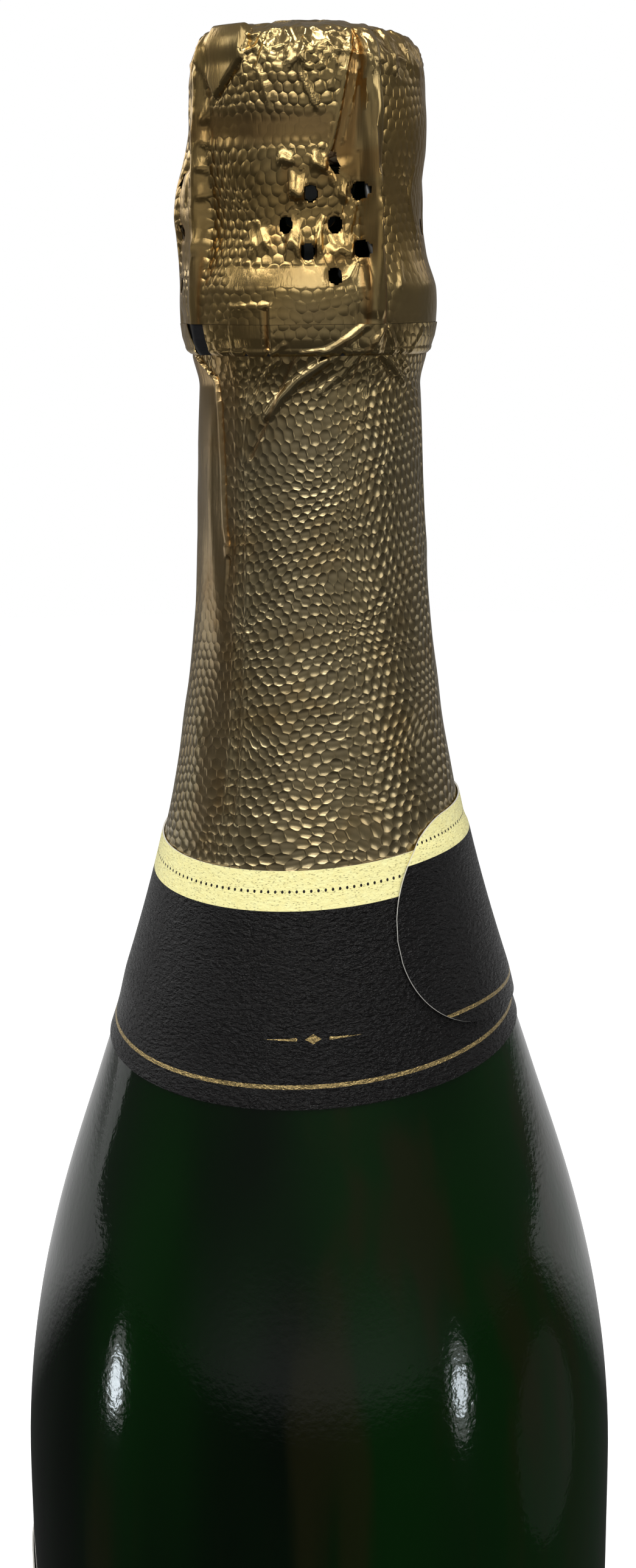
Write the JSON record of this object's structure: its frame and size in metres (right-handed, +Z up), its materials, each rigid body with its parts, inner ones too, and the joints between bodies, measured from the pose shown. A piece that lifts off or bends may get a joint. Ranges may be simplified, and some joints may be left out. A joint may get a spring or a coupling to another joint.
{
  "type": "sparkling wine bottle",
  "caption": "Sealed sparkling wine bottle: punted glass, wine, wired mushroom cork, vented foil hood with tear band, neck sleeve, collar and front label.",
  "frame": {"origin": "centre of the resting ring, on the surface the bottle stands on", "axes": "+Z up the bottle's axis, -Y towards the viewer of the dressed side, +X to that viewer's right"},
  "size_m": [0.0889, 0.089, 0.3182],
  "materials": {
    "green_glass": "very dark green bottle glass, polished",
    "wine": "clear pale gold liquid",
    "gold_foil": "embossed bronze-gold foil, satin",
    "black_paper": "black laid paper with a pale gold strip",
    "cream_paper": "cream paper with a dark border",
    "agglomerate_cork": "pressed cork grain",
    "natural_cork": "natural cork with lenticels",
    "tinplate": "lacquered, satin",
    "steel_wire": "galvanised wire",
    "black_tape": "black film"
  },
  "bodies": {
    "bottle": {"glass_bottle": "green_glass", "wine": "wine", "neck_foil": "gold_foil", "collar_label": "black_paper", "front_label": "cream_paper"},
    "cork": {"cork_body": "agglomerate_cork", "cork_disc_upper": "natural_cork", "cork_disc_lower": "natural_cork"},
    "cage": {"cap_plate": "tinplate", "cage_wire": "steel_wire", "belt_wire": "steel_wire"},
    "hood": {"foil_hood": "gold_foil", "tear_band": "gold_foil", "tear_tape": "black_tape"}
  },
  "joints": [
    {"name": "cork_pull", "type": "slide", "parent": "bottle", "child": "cork", "axis": [0, 0, 1], "range_m": [0, 0.05], "deforming": ["belt_wire", "cage_wire"]},
    {"name": "cage_lift", "type": "slide", "parent": "cork", "child": "cage", "axis": [0, 0, 1], "range_m": [0, 0.045]},
    {"name": "hood_lift", "type": "slide", "parent": "cage", "child": "hood", "axis": [0, 0, 1], "range_m": [0, 0.05]}
  ]
}
